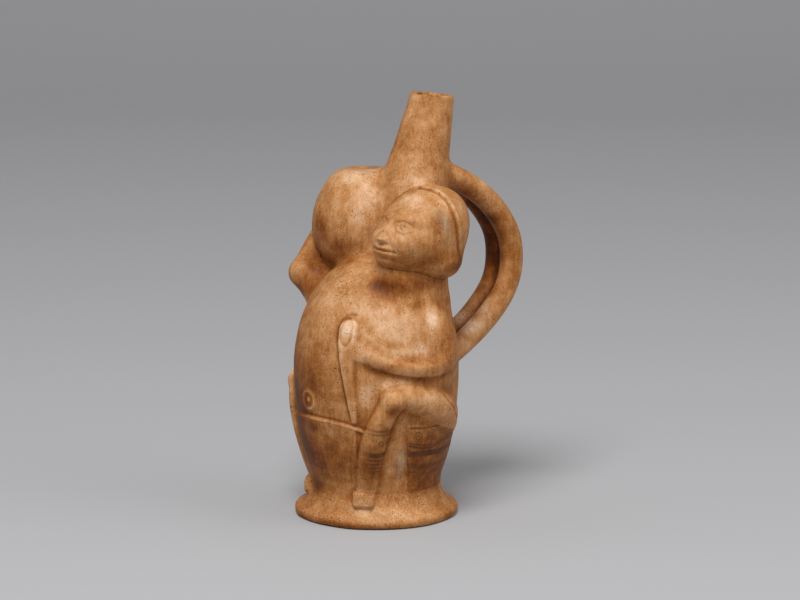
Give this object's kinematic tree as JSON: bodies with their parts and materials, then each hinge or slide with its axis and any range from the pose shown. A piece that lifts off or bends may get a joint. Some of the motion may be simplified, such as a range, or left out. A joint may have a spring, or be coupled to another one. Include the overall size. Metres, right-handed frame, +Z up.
{
  "type": "handle spout vessel",
  "caption": "Burnished clay handle spout vessel: a seated carrier with a jar on the shoulder, a leaning spout and a double strand loop handle on a flared foot.",
  "frame": {"origin": "middle of the foot, on the surface that the vessel stands on", "axes": "+Z up, -Y the way that the figure looks, +X the figure's left hand, +Y towards the loop handle"},
  "size_m": [0.1026, 0.1282, 0.2131],
  "materials": {
    "burnished_clay": "burnished, satin, warm tan with dark specks",
    "pale_clay": "burnished, worn pale, cream patches",
    "brown_clay": "burnished, brown slip and fire clouds",
    "gritty_clay": "matte, gritty and speckled"
  },
  "bodies": {
    "root": {"base_disc": "gritty_clay", "foot_ring": "gritty_clay", "body_front_shell": "burnished_clay", "body_back_shell": "burnished_clay", "spout": "burnished_clay", "handle_left_strand": "burnished_clay", "handle_right_strand": "burnished_clay", "neck": "brown_clay", "head_face": "pale_clay", "head_cap": "burnished_clay", "shoulder_jar": "pale_clay", "right_upper_arm": "burnished_clay", "right_forearm": "burnished_clay", "right_hand": "burnished_clay", "left_upper_arm": "burnished_clay", "left_forearm": "pale_clay", "left_hand": "pale_clay", "paddle": "burnished_clay", "paddle_inlay": "pale_clay", "left_thigh": "burnished_clay", "left_shin": "brown_clay", "left_foot": "gritty_clay", "right_thigh": "burnished_clay", "right_shin": "brown_clay", "right_foot": "gritty_clay", "navel_ring": "burnished_clay", "waistband": "burnished_clay", "loincloth_front": "brown_clay", "hip_cloth_left": "brown_clay", "hip_cloth_right": "brown_clay"}
  },
  "joints": []
}
